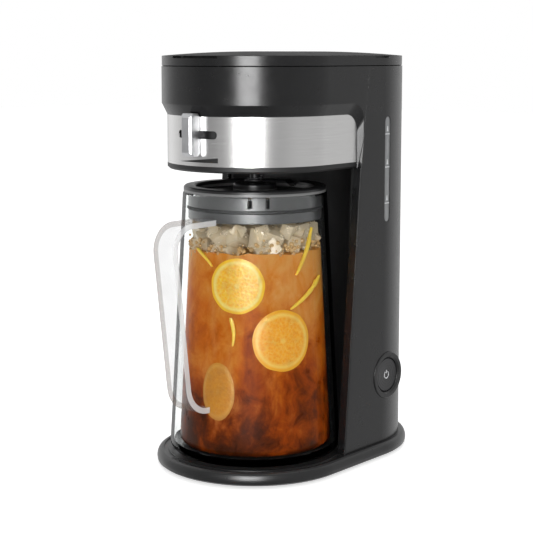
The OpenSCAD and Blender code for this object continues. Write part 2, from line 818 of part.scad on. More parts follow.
module button_ring() {
    color("#3a3b3d") translate([0, button_y, button_z]) rotate([0, 90, 0]) difference() {
        union() {
            translate([0, 0, ring_back]) cylinder(r = ring_r, h = body_r + ring_proud - 0.5 - ring_back);
            translate([0, 0, body_r + ring_proud - 0.5]) cylinder(r1 = ring_r, r2 = ring_r - 0.5, h = 0.5);
        }
        translate([0, 0, ring_back - 1]) cylinder(r = button_r, h = cut);
        translate([0, 0, body_r - 0.6]) cylinder(r1 = button_r, r2 = button_r + 1.6, h = 1.6);
    }
}

module power_button() {
    face = body_r - button_in;
    color("#303134") translate([0, button_y, button_z]) rotate([0, 90, 0]) {
        rotate_extrude($fn = fine) polygon([
            [0, face - button_depth], [button_r - gap, face - button_depth],
            [button_r - gap, face - 0.8], [button_r - gap - 0.8, face], [button_r - 4, face],
            [0, face - 0.5]]);
        translate([0, 0, board_x + 8]) cylinder(r = 3, h = face - button_depth - board_x - 7.9);
    }
}

module switch_board() {
    color("#3d6b45") translate([board_x, button_y, button_z]) {
        translate([0, -9, -board_h / 2]) cube([1.8, 20, board_h]);
        translate([1.8, -5, -5]) cube([4, 10, 10]);
        for (z = [3.5 - board_h / 2, board_h / 2 - 3.5]) translate([1.8, 0, z]) rotate([0, 90, 0])
            cylinder(r = 2.6, h = skin_r - board_x - 2.7);
    }
}

module cord_gland() {
    color("#17181a") translate([0, back_y, gland_z]) rotate([-90, 0, 0]) rotate_extrude() polygon([
        [3.2, -5], [5.9, -5], [5.9, 0.05], [9, 0.05], [9, 1.6], [6, gland_out], [3.2, gland_out]]);
}

module jug() {
    color([0.85, 0.89, 0.9, 0.35]) translate([0, jug_y, jug_z]) rotate_extrude($fn = fine) polygon(concat(
        [[0, 1.2], [jug_foot_r - 26, 1.2], [jug_foot_r - 22, 0]],
        [for (p = arc(jug_foot_r - jug_round, jug_round, jug_round, -90, 0, 6)) p],
        [[jug_rim_r, jug_h - rim_chamfer], [jug_rim_r - 1, jug_h], [jug_rim_r - jug_wall + 0.8, jug_h],
            [jug_rim_r - jug_wall, jug_h - 1]],
        [for (p = arc(jug_foot_r - jug_wall - 5, jug_floor + 5, 5, 0, -90, 6)) p],
        [[0, jug_floor]]));
}

// Side view of the handle band: a hook that leaves the wall high up, turns down and
// leans back to the wall near the foot; t is how far the line lies inside the outer edge
function handle_line(t) = let (
        top_r = 21.5,
        low_r = 25,
        lean = 7.2,
        top = [handle_reach - top_r, jug_top - 18.6 - top_r],
        low_z = jug_z + 43.8 + low_r,
        low = [top.x - ((top.y - low_z) * sin(lean) - top_r + low_r) / cos(lean), low_z])
    concat([[jug_r(top.y) - 6, top.y + top_r - t]], arc(top.x, top.y, top_r - t, 90, -lean, 14),
        arc(low.x, low.y, low_r - t, -lean, -90, 10), [[jug_r(low.y) - 6, low.y - low_r + t]]);

module jug_handle() {
    outer = handle_line(0);
    inner = handle_line(handle_t);
    n = len(inner);
    color([0.85, 0.89, 0.9, 0.35]) translate([0, jug_y, 0]) difference() {
        rotate([90, 0, -90]) translate([0, 0, -handle_w / 2]) linear_extrude(handle_w)
            polygon(concat(outer, [for (i = [n - 1 : -1 : 0]) inner[i]]));
        translate([0, 0, jug_z + jug_round]) cylinder(r1 = jug_foot_r + seat,
            r2 = jug_rim_r + seat, h = jug_h - jug_round - rim_chamfer, $fn = fine);
        translate([0, 0, jug_z - 1]) cylinder(r = 40, h = jug_h);
    }
}

module jug_lid() {
    z = jug_top + 0.1;
    well = collar_r - collar_t;
    color("#151618") translate([0, jug_y, 0]) difference() {
        rotate_extrude($fn = fine) polygon([
            [disc_r - 4, z - 3], [well - 0.2, z - 3], [well - 0.2, z], [flange_r, z],
            [flange_r, z + flange_t - 1.2], [flange_r - 1.2, z + flange_t],
            [flange_r - 8.5, z + flange_t], [flange_r - 10, z + flange_t - 1], [flange_r - 11, z - 1],
            [disc_r - 4, z - 1]]);
        rotate([90, 0, 180]) translate([0, 0, flange_r - 16]) linear_extrude(cut) polygon([
            [-10.5, z + flange_t + 1], [10.5, z + flange_t + 1], [2.5, z + 0.3], [-2.5, z + 0.3]]);
    }
}

module lid_collar() {
    top = jug_top - seat;
    color("#4c4e51") translate([0, jug_y, 0]) difference() {
        rotate_extrude($fn = fine) polygon([
            [collar_r - collar_t, collar_low], [collar_r - 0.5, collar_low], [collar_r, collar_low + 0.8],
            [collar_r, top], [collar_r - collar_t, top]]);
        for (a = [36.5, 51]) rotate(a - 90) translate([collar_r - 1, 0, top - 4.5])
            cube([4, 3.2, 9.5], center = true);
        for (a = [76 : 7 : 104]) rotate(a) translate([collar_r, 0, collar_low + 8])
            cube([8, 3.4, 10], center = true);
    }
}

module pour_cap() {
    z = jug_top - 0.9 + seat;
    color("#1b1c1e") translate([0, jug_y, 0]) difference() {
        rotate_extrude($fn = fine) polygon(concat(
            [[0, z], [disc_r, z]], arc(disc_r - 2, disc_top - 2, 2, 0, 90, 5), [[0, disc_top]]));
        for (a = [0 : 60 : 300]) rotate(a) translate([12, 0, z - 1])
            cylinder(r = 1.5, h = disc_top - z + 2, $fn = 24);
    }
}

module jug_seal() {
    z = jug_top - 14;
    color("#8e9194") translate([0, jug_y, 0]) rotate_extrude($fn = fine) polygon([
        [collar_r + seat, z], [jug_rim_r - jug_wall - gap, z + 1], [jug_rim_r - jug_wall - gap, z + 2],
        [collar_r + seat, z + 3]]);
}

plinth();
plinth_cover();
rubber_feet();
cover_screws();
tower_shell();
recess_panel();
head_shell();
brew_chamber();
steel_band();
top_deck();
water_tank();
level_window();
heater_tube();
heater_plate();
thermostat();
inlet_hose();
check_valve();
riser_tube();
spray_spout();
brew_basket();
mesh_filter();
drip_valve();
valve_spring();
valve_washer();
lid_rim();
lid_crown();
lid_seal();
hinge_pins();
strength_knob();
strength_shutter();
button_ring();
power_button();
switch_board();
cord_gland();
jug();
jug_handle();
jug_lid();
lid_collar();
pour_cap();
jug_seal();
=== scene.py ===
import json
import math
import random

import bmesh
import bpy
from mathutils import Matrix, Vector, noise


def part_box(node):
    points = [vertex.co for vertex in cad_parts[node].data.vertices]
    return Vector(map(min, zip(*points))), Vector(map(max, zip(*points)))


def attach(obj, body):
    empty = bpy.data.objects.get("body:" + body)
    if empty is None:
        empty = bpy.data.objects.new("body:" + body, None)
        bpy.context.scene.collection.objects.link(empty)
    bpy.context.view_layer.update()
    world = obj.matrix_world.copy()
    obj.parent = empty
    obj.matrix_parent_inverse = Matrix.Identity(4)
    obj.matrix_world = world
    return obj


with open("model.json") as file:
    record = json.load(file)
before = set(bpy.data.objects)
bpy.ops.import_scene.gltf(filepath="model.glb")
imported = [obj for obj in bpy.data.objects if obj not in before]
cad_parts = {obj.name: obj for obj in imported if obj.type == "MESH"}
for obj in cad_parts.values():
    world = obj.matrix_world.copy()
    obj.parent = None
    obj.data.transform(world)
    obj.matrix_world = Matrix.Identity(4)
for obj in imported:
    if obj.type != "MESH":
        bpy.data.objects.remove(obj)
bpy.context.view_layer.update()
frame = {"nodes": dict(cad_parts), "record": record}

MM = 0.001

# Camera: azimuth in degrees from the front (-Y) towards the right (+X), places in metres
CAMERA_AZIMUTH = 40.14
CAMERA_PITCH = 7.0
CAMERA_AWAY = 1.1631
CAMERA_SIDE = -0.0072
CAMERA_HEIGHT = 0.3453
CAMERA_LENS = 92.765
CAMERA_SENSOR = 36
PICTURE = 533
PICTURE_SHIFT = 45

# Studio: brightness of the surroundings in gloss, and of the floor where it is seen
WORLD_BASE = 0.34
FLOOR_LIFT = 0.62
FLOOR_REACH = 6.0
# Tall soft panels round the object: azimuth, degrees to each side that are full, degrees to each
# side where it has faded out, strength
PANELS = (
    (132, 22, 72, 0.26),
    (215, 40, 80, 0.35),
    (282, 18, 48, 0.32),
)
# Height on the object's axis that the soft boxes face
LIGHT_AIM = 0.17

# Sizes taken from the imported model
jug_low, jug_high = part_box("jug")
AXIS_Y = (jug_low.y + jug_high.y) / 2
JUG_FOOT_R = (jug_high.x - jug_low.x) / 2
RIM_PAST_LID = 0.7 * MM
JUG_RIM_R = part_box("jug_lid")[1].x + RIM_PAST_LID
JUG_LOW = jug_low.z
JUG_HEIGHT = jug_high.z - jug_low.z
COLLAR_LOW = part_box("lid_collar")[0].z
BAND_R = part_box("steel_band")[1].x
BAND_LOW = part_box("steel_band")[0].z
BUTTON_LOW, BUTTON_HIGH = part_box("power_button")
BUTTON_Y = (BUTTON_LOW.y + BUTTON_HIGH.y) / 2
BUTTON_Z = (BUTTON_LOW.z + BUTTON_HIGH.z) / 2
WINDOW_LOW, WINDOW_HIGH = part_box("level_window")
WINDOW_Y = (WINDOW_LOW.y + WINDOW_HIGH.y) / 2

# The drink stands this far inside the outer face of the jug, and up to this level
DRINK_INSET = 7.6 * MM
DRINK_FLOOR = 6.5 * MM
DRINK_TOP = 184.5 * MM


def camera_direction(azimuth):
    """Level direction from the object towards an azimuth."""
    a = math.radians(azimuth)
    return Vector((math.sin(a), -math.cos(a), 0))


def around_jug(radius, angle, z):
    """Point at an angle round the jug's axis, from the front towards the right."""
    a = math.radians(angle)
    return Vector((radius * math.sin(a), AXIS_Y - radius * math.cos(a), z))


def jug_radius(z):
    """Outer radius of the jug's wall at height z."""
    share = (z - JUG_LOW) / JUG_HEIGHT
    return JUG_FOOT_R + (JUG_RIM_R - JUG_FOOT_R) * share


def drink_radius(z):
    """Radius of the drink at height z."""
    return jug_radius(z) - DRINK_INSET


class Tree:
    """Node tree with short ways to add shader nodes. A value may be a number or a socket."""

    def __init__(self, tree):
        self.nodes = tree.nodes
        self.links = tree.links

    def feed(self, socket, value):
        """Joins another socket to this one, or sets its own value."""
        if isinstance(value, bpy.types.NodeSocket):
            self.links.new(value, socket)
        else:
            socket.default_value = value

    def add(self, kind, inputs=None, **settings):
        """New node of one kind, with the values of its inputs and its settings."""
        node = self.nodes.new("ShaderNode" + kind)
        for name, value in settings.items():
            setattr(node, name, value)
        for key, value in (inputs or {}).items():
            self.feed(node.inputs[key], value)
        return node

    def remap(self, value, low, high, to_low, to_high, shape="LINEAR"):
        """Value stretched from low..high to to_low..to_high, and held at those ends."""
        node = self.add("MapRange", {
            "Value": value, "From Min": low, "From Max": high, "To Min": to_low, "To Max": to_high},
            interpolation_type=shape)
        return node.outputs["Result"]

    def math(self, operation, a, b=0.0):
        return self.add("Math", {0: a, 1: b}, operation=operation).outputs["Value"]

    def vector(self, operation, a, b=(0, 0, 0)):
        return self.add("VectorMath", {0: a, 1: b}, operation=operation)

    def length(self, x, y):
        """Distance from the origin to a point in a plane."""
        squares = self.math("ADD", self.math("MULTIPLY", x, x), self.math("MULTIPLY", y, y))
        return self.math("SQRT", squares)

    def either_ray(self, first, second):
        """1 where the ray is of one of two kinds, else 0."""
        path = self.add("LightPath")
        return self.math("MAXIMUM", path.outputs[f"Is {first} Ray"], path.outputs[f"Is {second} Ray"])


class Graph(Tree):
    """Node tree of one material, built round its Principled shader."""

    def __init__(self, name):
        self.material = bpy.data.materials.new(name)
        self.material.use_nodes = True
        super().__init__(self.material.node_tree)
        self.shader = self.nodes["Principled BSDF"]
        self.output = self.nodes["Material Output"]

    def set(self, **values):
        """Sets the shader's own values, with _ for each space in their names."""
        for name, value in values.items():
            socket = self.shader.inputs[name.replace("_", " ")]
            if socket.type == "RGBA":
                value = (*value, 1)
            socket.default_value = value

    def join(self, socket, name):
        """Joins a socket to one of the shader's inputs."""
        self.links.new(socket, self.shader.inputs[name])

    def place(self, stretch=(1, 1, 1)):
        """Coordinates on the object in metres, stretched along the axes."""
        where = self.add("TexCoord").outputs["Object"]
        if stretch == (1, 1, 1):
            return where
        return self.add("Mapping", {"Vector": where, "Scale": stretch}).outputs["Vector"]

    def along(self, axis):
        """One coordinate on the object, in metres."""
        return self.add("SeparateXYZ", {0: self.place()}).outputs[axis]

    def noise(self, size, where=None, detail=3.0, roughness=0.55, distortion=0.0):
        """Noise whose patches are about size metres across."""
        node = self.add("TexNoise", {
            "Vector": where or self.place(), "Scale": 1 / size, "Detail": detail,
            "Roughness": roughness, "Distortion": distortion})
        return node.outputs["Fac"]

    def wander(self, value, low, high):
        """Noise, which mostly stays between 0.3 and 0.7, stretched to run from low to high."""
        return self.remap(value, 0.3, 0.7, low, high)

    def mix(self, factor, a, b):
        """Colour between a and b."""
        node = self.add("Mix", {"Factor": factor}, data_type="RGBA")
        for socket, value in ((node.inputs[6], a), (node.inputs[7], b)):
            self.feed(socket, (*value, 1) if isinstance(value, tuple) else value)
        return node.outputs[2]

    def tone(self, factor, colour, dark, light):
        """Base colour that runs from a darker to a lighter tone of colour."""
        low = tuple(dark * c for c in colour)
        high = tuple(min(1, light * c) for c in colour)
        self.join(self.mix(factor, low, high), "Base Color")

    def rough(self, value, low, high):
        """Roughness that wanders between two values with noise."""
        self.join(self.wander(value, low, high), "Roughness")

    def ramp(self, value, stops):
        """Colour ramp from [place, colour] stops."""
        node = self.add("ValToRGB", {"Fac": value})
        elements = node.color_ramp.elements
        while len(elements) < len(stops):
            elements.new(1)
        for element, (place, colour) in zip(elements, stops):
            element.position = place
            element.color = (*colour, 1)
        return node.outputs["Color"]

    def bump(self, height, distance, strength=1.0, edge=0.0):
        """Relief in metres; edge rounds the sharp edges of the solid by that radius."""
        inputs = {"Height": height, "Distance": distance, "Strength": strength}
        if edge:
            inputs["Normal"] = self.add("Bevel", {"Radius": edge}, samples=4).outputs["Normal"]
        self.join(self.add("Bump", inputs).outputs["Normal"], "Normal")

    def let_light_through(self, colour, surface=None):
        """Shadow and diffuse rays pass straight through the surface, tinted by colour."""
        passes = self.either_ray("Shadow", "Diffuse")
        clear = self.add("BsdfTransparent", {"Color": (*colour, 1)}).outputs[0]
        mixed = self.add("MixShader", {0: passes, 1: surface or self.shader.outputs[0], 2: clear})
        self.links.new(mixed.outputs[0], self.output.inputs["Surface"])


def moulded_plastic(name, colour, roughness, specular=0.5):
    """Moulded plastic: fine grain, patchy gloss, slight change of tone, rounded edges."""
    spread, grain, relief, edge = 0.03, 0.5 * MM, 0.006 * MM, 0.5 * MM
    g = Graph(name)
    g.tone(g.noise(24 * MM, detail=2), colour, dark=0.88, light=1.12)
    g.rough(g.noise(9 * MM, detail=4), roughness - spread, roughness + spread)
    g.set(Specular_IOR_Level=specular)
    g.bump(g.noise(grain, detail=2), relief, edge=edge)
    return g.material


def brushed_steel(name):
    """Steel sheet brushed round the band: long level streaks in tone, gloss and relief."""
    colour, roughness, spread = (0.70, 0.695, 0.69), 0.25, 0.03
    long_run, fine_run = (1, 1, 260), (1, 1, 90)
    long_share, fine_share = 0.6, 0.4
    g = Graph(name)
    streaks = g.noise(60 * MM, g.place(long_run), detail=5, roughness=0.65)
    fine = g.noise(14 * MM, g.place(fine_run), detail=3)
    tone = g.math("ADD", g.math("MULTIPLY", streaks, long_share), g.math("MULTIPLY", fine, fine_share))
    g.tone(g.remap(tone, 0.35, 0.65, 0, 1), colour, dark=0.93, light=1.06)
    g.rough(tone, roughness - spread, roughness + spread)
    g.set(Metallic=1.0)
    g.bump(streaks, 0.002 * MM, edge=0.2 * MM)
    return g.material


def cast_metal(name, colour, roughness, grain=1.2 * MM, relief=0.01 * MM):
    """Plain metal of small parts: faint mottling and a soft grain."""
    spread = 0.05
    g = Graph(name)
    mottle = g.noise(6 * MM, detail=4)
    g.tone(mottle, colour, dark=0.9, light=1.08)
    g.rough(mottle, roughness - spread, roughness + spread)
    g.set(Metallic=1.0)
    g.bump(g.noise(grain, detail=3), relief, edge=0.4 * MM)
    return g.material


def rubber(name, colour, roughness):
    """Moulded rubber or silicone: matt, with a powdery fine grain."""
    spread, grain, relief = 0.06, 0.4 * MM, 0.02 * MM
    g = Graph(name)
    powder = g.noise(5 * MM, detail=4)
    g.tone(powder, colour, dark=0.85, light=1.15)
    g.rough(powder, roughness - spread, roughness + spread)
    g.set(Specular_IOR_Level=0.35)
    g.bump(g.noise(grain, detail=2), relief, edge=0.3 * MM)
    return g.material


def clear_wall(name):
    """Thick clear jug wall, faintly rippled: it bends light, and is glossy only at a flat angle."""
    colour, roughness, ripple = (0.985, 0.992, 0.99), 0.015, 0.02 * MM
    index, dull, shadow_tint = 1.4, 0.985, (0.97, 0.975, 0.975)
    gloss_from, gloss_most = 0.55, 0.4
    g = Graph(name)
    g.bump(g.noise(16 * MM, g.place((1, 1, 0.4)), detail=1), ripple, edge=0.8 * MM)
    normal = g.shader.inputs["Normal"].links[0].from_socket
    tint = g.mix(g.noise(30 * MM, detail=1), tuple(dull * c for c in colour), colour)
    rough = g.wander(g.noise(12 * MM), roughness * 0.5, roughness * 1.5)
    bent = g.add("BsdfRefraction", {"Color": tint, "Roughness": rough, "IOR": index, "Normal": normal})
    g.join(tint, "Base Color")
    g.join(rough, "Roughness")
    g.set(Metallic=1.0)
    facing = g.add("LayerWeight", {"Blend": 0.5, "Normal": normal}).outputs["Facing"]
    gloss = g.remap(facing, gloss_from, 1.0, 0.0, gloss_most)
    wall = g.add("MixShader", {0: gloss, 1: bent.outputs[0], 2: g.shader.outputs[0]})
    g.let_light_through(shadow_tint, wall.outputs[0])
    return g.material


def clear_handle(name):
    """Flat clear band: pale grey faces, a brown line of painted shade along one edge, a white line of
    painted highlight along the other.
    """
    # brown paints shade along one edge, white paints a highlight along the other
    shade_brown, white = (0.22, 0.13, 0.075), (0.92, 0.92, 0.92)
    dark_face, light_face = (0.33, 0.33, 0.335), (0.39, 0.39, 0.395)
    # How far in from its edge each line of painted shade and painted highlight begins, and is full
    shade_in, shade_full = 0.7 * MM, 0.4 * MM
    highlight_in, highlight_full = 0.9 * MM, 0.5 * MM
    face_solid, shade_solid, highlight_solid = (0.17, 0.22), 0.3, 0.5
    g = Graph(name)
    x = g.along("X")
    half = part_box("jug_handle")[1].x
    # left masks the brown line of painted shade, right the white line of painted highlight
    left = g.remap(x, -half + shade_in, -half + shade_full, 0, 1)
    right = g.remap(x, half - highlight_in, half - highlight_full, 0, 1)
    cloud = g.noise(20 * MM, detail=2)
    face = g.mix(cloud, dark_face, light_face)
    g.join(g.mix(right, g.mix(left, face, shade_brown), white), "Base Color")
    # Both painted lines are also made less clear than the faces
    solid = g.math("ADD", g.wander(cloud, *face_solid), g.math("MULTIPLY", left, shade_solid))
    g.join(g.math("ADD", solid, g.math("MULTIPLY", right, highlight_solid)), "Alpha")
    g.set(Roughness=0.12, Specular_IOR_Level=0.5)
    g.bump(g.noise(12 * MM, detail=1), 0.02 * MM, edge=0.8 * MM)
    return g.material


def level_window_material():
    """Frosted clear window, a little brighter in the middle of its width."""
    edge_tone = (0.12, 0.122, 0.126)
    middle_dark, middle_light = (0.21, 0.215, 0.22), (0.27, 0.275, 0.28)
    middle_share = 0.35
    g = Graph("level window")
    half = (WINDOW_HIGH.y - WINDOW_LOW.y) / 2
    off = g.math("ABSOLUTE", g.math("SUBTRACT", g.along("Y"), WINDOW_Y))
    edge = g.remap(off, middle_share * half, half, 0, 1)
    cloud = g.noise(10 * MM, g.place((1, 1, 0.3)), detail=3)
    g.join(g.mix(edge, g.mix(cloud, middle_dark, middle_light), edge_tone), "Base Color")
    g.rough(cloud, 0.22, 0.3)
    g.set(Coat_Weight=0.4, Coat_Roughness=0.08)
    g.bump(g.noise(1.5 * MM), 0.01 * MM, edge=0.3 * MM)
    return g.material


def smoky_collar(name):
    """Smoky grey plastic of the collar, faintly clouded under a thin coat."""
    dark, light = (0.052, 0.052, 0.053), (0.066, 0.066, 0.067)
    g = Graph(name)
    cloud = g.noise(18 * MM, g.place((1, 1, 0.5)), detail=3)
    g.join(g.mix(cloud, dark, light), "Base Color")
    g.rough(g.noise(5 * MM), 0.3, 0.36)
    g.set(Coat_Weight=0.3, Coat_Roughness=0.2)
    g.bump(g.noise(0.8 * MM), 0.008 * MM, edge=0.4 * MM)
    return g.material


def lid_plastic(name):
    """Satin black lid with a painted highlight, a pale grey satin band, along the foot of its flange.
    """
    flange, band_h, fade_low, fade_high = 3 * MM, 1.9 * MM, 0.2 * MM, 0.3 * MM
    # satin is the pale grey of the painted highlight on the flange's foot
    dark, light, satin = (0.010, 0.010, 0.011), (0.016, 0.016, 0.017), (0.2, 0.2, 0.2)
    g = Graph(name)
    height = g.along("Z")
    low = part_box("jug_lid")[0].z + flange
    # pale masks the band of painted highlight, and above holds it to the flange's foot
    pale = g.remap(height, low + band_h + fade_high, low + band_h, 0, 1)
    above = g.remap(height, low - fade_low, low, 0, 1)
    black = g.mix(g.noise(12 * MM, detail=3), dark, light)
    g.join(g.mix(g.math("MULTIPLY", pale, above), black, satin), "Base Color")
    g.rough(g.noise(6 * MM), 0.28, 0.36)
    g.bump(g.noise(0.6 * MM), 0.006 * MM, edge=0.5 * MM)
    return g.material


def button_plastic(name):
    """Button face with fine turned rings round its middle."""
    pitch, relief = 2.2 * MM, 0.12 * MM
    dark, light = (0.017, 0.017, 0.018), (0.022, 0.022, 0.024)
    g = Graph(name)
    parts = g.add("SeparateXYZ", {0: g.place()})
    dy = g.math("SUBTRACT", parts.outputs["Y"], BUTTON_Y)
    dz = g.math("SUBTRACT", parts.outputs["Z"], BUTTON_Z)
    rings = g.math("SINE", g.math("MULTIPLY", g.length(dy, dz), 2 * math.pi / pitch))
    cloud = g.noise(8 * MM)
    g.join(g.mix(cloud, dark, light), "Base Color")
    g.rough(cloud, 0.3, 0.38)
    g.bump(g.remap(rings, -1, 1, 0, 1), relief, edge=0.4 * MM)
    return g.material


def mesh_screen(name):
    """Fine woven gold-tone screen."""
    thread, relief = 0.5 * MM, 0.05 * MM
    gold, dull_gold, gap = (0.78, 0.62, 0.34, 1), (0.70, 0.55, 0.30, 1), (0.16, 0.12, 0.06, 1)
    g = Graph(name)
    weave = g.add("TexBrick", {
        "Vector": g.place(), "Scale": 1 / thread, "Mortar Size": 0.25, "Mortar Smooth": 0.6,
        "Color1": gold, "Color2": dull_gold, "Mortar": gap}, offset=0.0)
    g.join(weave.outputs["Color"], "Base Color")
    g.set(Metallic=0.9, Roughness=0.35)
    g.bump(weave.outputs["Fac"], -relief, edge=0.2 * MM)
    return g.material


def circuit_board(name):
    """Green lacquered board with paler tracks."""
    green, track_green, track_size = (0.03, 0.11, 0.05), (0.09, 0.25, 0.12), 4 * MM
    g = Graph(name)
    tracks = g.add("TexVoronoi", {"Vector": g.place((1, 1, 3)), "Scale": 1 / track_size},
                   feature="DISTANCE_TO_EDGE", distance="MANHATTAN").outputs["Distance"]
    g.join(g.mix(g.remap(tracks, 0.04, 0.1, 1, 0), green, track_green), "Base Color")
    g.set(Roughness=0.4, Coat_Weight=0.5)
    g.bump(tracks, 0.02 * MM)
    return g.material


# Colour of the tea from the foot of the jug (0) to the surface (1): its amber with painted light at
# the top and painted shade towards the foot
TEA_TONE_AND_SHADE = (
    (0.0, (0.050, 0.010, 0.002)),
    (0.16, (0.12, 0.020, 0.002)),
    (0.36, (0.34, 0.055, 0.003)),
    (0.6, (0.56, 0.13, 0.008)),
    (0.82, (0.66, 0.22, 0.028)),
    (1.0, (0.70, 0.31, 0.075)),
)


def tea_material():
    """Brewed tea with misty swirls, its amber painted pale with light at the top and dark with shade
    at the foot.
    """
    swirl_shift, small_shift, mist_most = 0.24, 0.17, 0.4
    mist_tone = (0.72, 0.40, 0.14)
    g = Graph("iced tea")
    swirl = g.noise(46 * MM, g.place((1, 1, 0.7)), detail=5, roughness=0.6, distortion=0.9)
    small = g.noise(13 * MM, g.place((1, 1, 0.8)), detail=6, roughness=0.65, distortion=0.5)
    # level carries the painted shade: dark at the foot of the jug, pale at the top
    level = g.remap(g.along("Z"), JUG_LOW, DRINK_TOP, 0, 1)
    level = g.math("ADD", level, g.wander(swirl, -swirl_shift, swirl_shift))
    level = g.math("ADD", level, g.wander(small, -small_shift, small_shift))
    mist = g.noise(30 * MM, g.place((1, 1, 0.35)), detail=4, roughness=0.6, distortion=0.4)
    mist = g.math("MULTIPLY", g.remap(mist, 0.5, 0.72, 0, mist_most), g.remap(level, 0.25, 0.7, 0, 1))
    g.join(g.mix(mist, g.ramp(level, TEA_TONE_AND_SHADE), mist_tone), "Base Color")
    g.rough(small, 0.25, 0.42)
    g.set(Specular_IOR_Level=0.06, Subsurface_Weight=0.25, Subsurface_Scale=0.01,
          Subsurface_Radius=(1.0, 0.4, 0.15))
    g.bump(small, 0.6 * MM, strength=0.3)
    return g.material


def fruit_material(name, flesh, deep_flesh, pith, rind, sunk=0.0):
    """Cut citrus slice. Its UV map lies across the slice, with radius 1 at the rind.

    A strip of peel has no such map, so it takes the tone of a slice's core.
    """
    segments, wobble, grain, cell = 9, 0.25, 2.2 * MM, 2.4 * MM
    wall_width, tea_least, tea_most = 0.16, -0.05, 0.3
    # Radii between which each ring of the slice fades in
    core_ring, wall_end = (0.12, 0.06), (0.8, 0.72)
    pith_ring, rind_ring = (0.74, 0.84), (0.86, 0.93)
    # How strongly the pith shows in the cells, walls, ring and core
    cell_pith, wall_pith, ring_pith, core_pith = 0.35, 0.55, 0.75, 0.6
    tea = (0.42, 0.16, 0.035)
    g = Graph(name)
    parts = g.add("SeparateXYZ", {0: g.add("UVMap", uv_map="slice").outputs["UV"]})
    x, y = parts.outputs["X"], parts.outputs["Y"]
    radius = g.length(x, y)
    turn = g.math("ADD", g.math("ARCTAN2", y, x), g.wander(g.noise(5 * MM), -wobble, wobble))
    wedge = g.math("ABSOLUTE", g.math("SINE", g.math("MULTIPLY", turn, segments / 2)))
    wall = g.remap(wedge, 0.0, wall_width, 1, 0)
    wall = g.math("MULTIPLY", wall, g.remap(radius, *wall_end, 0, 1))
    grainy = g.noise(grain, detail=5, roughness=0.7)
    cells = g.add("TexVoronoi", {"Vector": g.place(), "Scale": 1 / cell}).outputs["Distance"]
    body = g.mix(g.remap(grainy, 0.35, 0.65, 0, 1), flesh, deep_flesh)
    body = g.mix(g.remap(cells, 0.2, 0.9, 0, cell_pith), body, pith)
    body = g.mix(g.math("MULTIPLY", wall, wall_pith), body, pith)
    body = g.mix(g.remap(radius, *pith_ring, 0, ring_pith), body, pith)
    body = g.mix(g.remap(radius, *rind_ring, 0, 1), body, rind)
    body = g.mix(g.remap(radius, *core_ring, 0, core_pith), body, pith)
    cover = g.remap(g.noise(14 * MM, detail=4), 0.45, 0.75, tea_least, tea_most)
    # sunk adds more tea colour over the slice; the low lemon uses it as painted shade
    g.join(g.mix(g.math("ADD", sunk, cover), body, tea), "Base Color")
    g.set(Roughness=0.35, Specular_IOR_Level=0.3, Subsurface_Weight=0.2, Subsurface_Scale=0.004,
          Subsurface_Radius=(1.0, 0.6, 0.2))
    g.bump(cells, 0.3 * MM, strength=0.5)
    return g.material


def ice_material():
    """Cloudy ice, clear at its faces and milky inside."""
    amber, white, ice_index = (0.96, 0.72, 0.40), (1.0, 0.93, 0.78), 1.31
    g = Graph("ice")
    cloud = g.noise(7 * MM, detail=5, roughness=0.65)
    g.join(g.mix(cloud, amber, white), "Base Color")
    g.join(g.remap(cloud, 0.35, 0.65, 0.08, 0.3), "Roughness")
    g.set(Transmission_Weight=0.5, IOR=ice_index)
    g.bump(g.noise(2.5 * MM, detail=4), 0.5 * MM, strength=0.7)
    g.let_light_through((0.8, 0.8, 0.8))
    return g.material


def foam_material():
    """Amber bubbles along the surface of the drink."""
    amber, pale, water_index = (0.62, 0.36, 0.12), (0.86, 0.66, 0.38), 1.33
    g = Graph("bubbles")
    g.join(g.mix(g.noise(6 * MM, detail=3), amber, pale), "Base Color")
    g.set(Roughness=0.12, Transmission_Weight=0.45, IOR=water_index)
    g.bump(g.noise(1 * MM), 0.05 * MM)
    g.let_light_through((0.9, 0.8, 0.6))
    return g.material


def print_material(name, colour):
    """Printed or moulded-in mark: even ink with a slight tooth."""
    roughness, spread = 0.45, 0.05
    g = Graph(name)
    tooth = g.noise(1.5 * MM, detail=3)
    g.tone(tooth, colour, dark=0.9, light=1.0)
    g.rough(tooth, roughness - spread, roughness + spread)
    g.bump(g.noise(0.3 * MM), 0.005 * MM)
    return g.material


def make_materials():
    return {
        "shell": moulded_plastic("shell plastic", (0.0095, 0.0095, 0.0100), 0.25, specular=0.42),
        "base_plastic": moulded_plastic("plinth plastic", (0.016, 0.016, 0.0165), 0.3, specular=0.45),
        "inner_black": moulded_plastic("inner plastic", (0.006, 0.006, 0.0065), 0.48),
        "crown_black": moulded_plastic("crown plastic", (0.004, 0.004, 0.0045), 0.5, specular=0.12),
        "foot_rubber": rubber("foot rubber", (0.012, 0.012, 0.013), 0.7),
        "steel": brushed_steel("brushed band"),
        "knob_chrome": cast_metal("satin chrome", (0.55, 0.555, 0.565), 0.38,
                                  grain=0.5 * MM, relief=0.003 * MM),
        "screw_steel": cast_metal("small steel parts", (0.55, 0.55, 0.57), 0.3),
        "tank_plastic": moulded_plastic("tank plastic", (0.62, 0.64, 0.65), 0.4),
        "window_clear": level_window_material(),
        "heater_alloy": cast_metal("cast alloy", (0.6, 0.61, 0.62), 0.45,
                                   grain=0.8 * MM, relief=0.05 * MM),
        "silicone": rubber("silicone", (0.7, 0.7, 0.67), 0.45),
        "filter_mesh": mesh_screen("filter screen"),
        "board_green": circuit_board("switch board"),
        "clear_wall": clear_wall("clear jug"),
        "collar_grey": smoky_collar("smoky collar"),
        "lid_black": lid_plastic("jug lid plastic"),
        "seal_grey": rubber("seal", (0.4, 0.41, 0.42), 0.5),
        "button": button_plastic("button plastic"),
        "handle": clear_handle("clear handle"),
        "dark_seal": rubber("dark seal", (0.03, 0.03, 0.031), 0.6),
    }


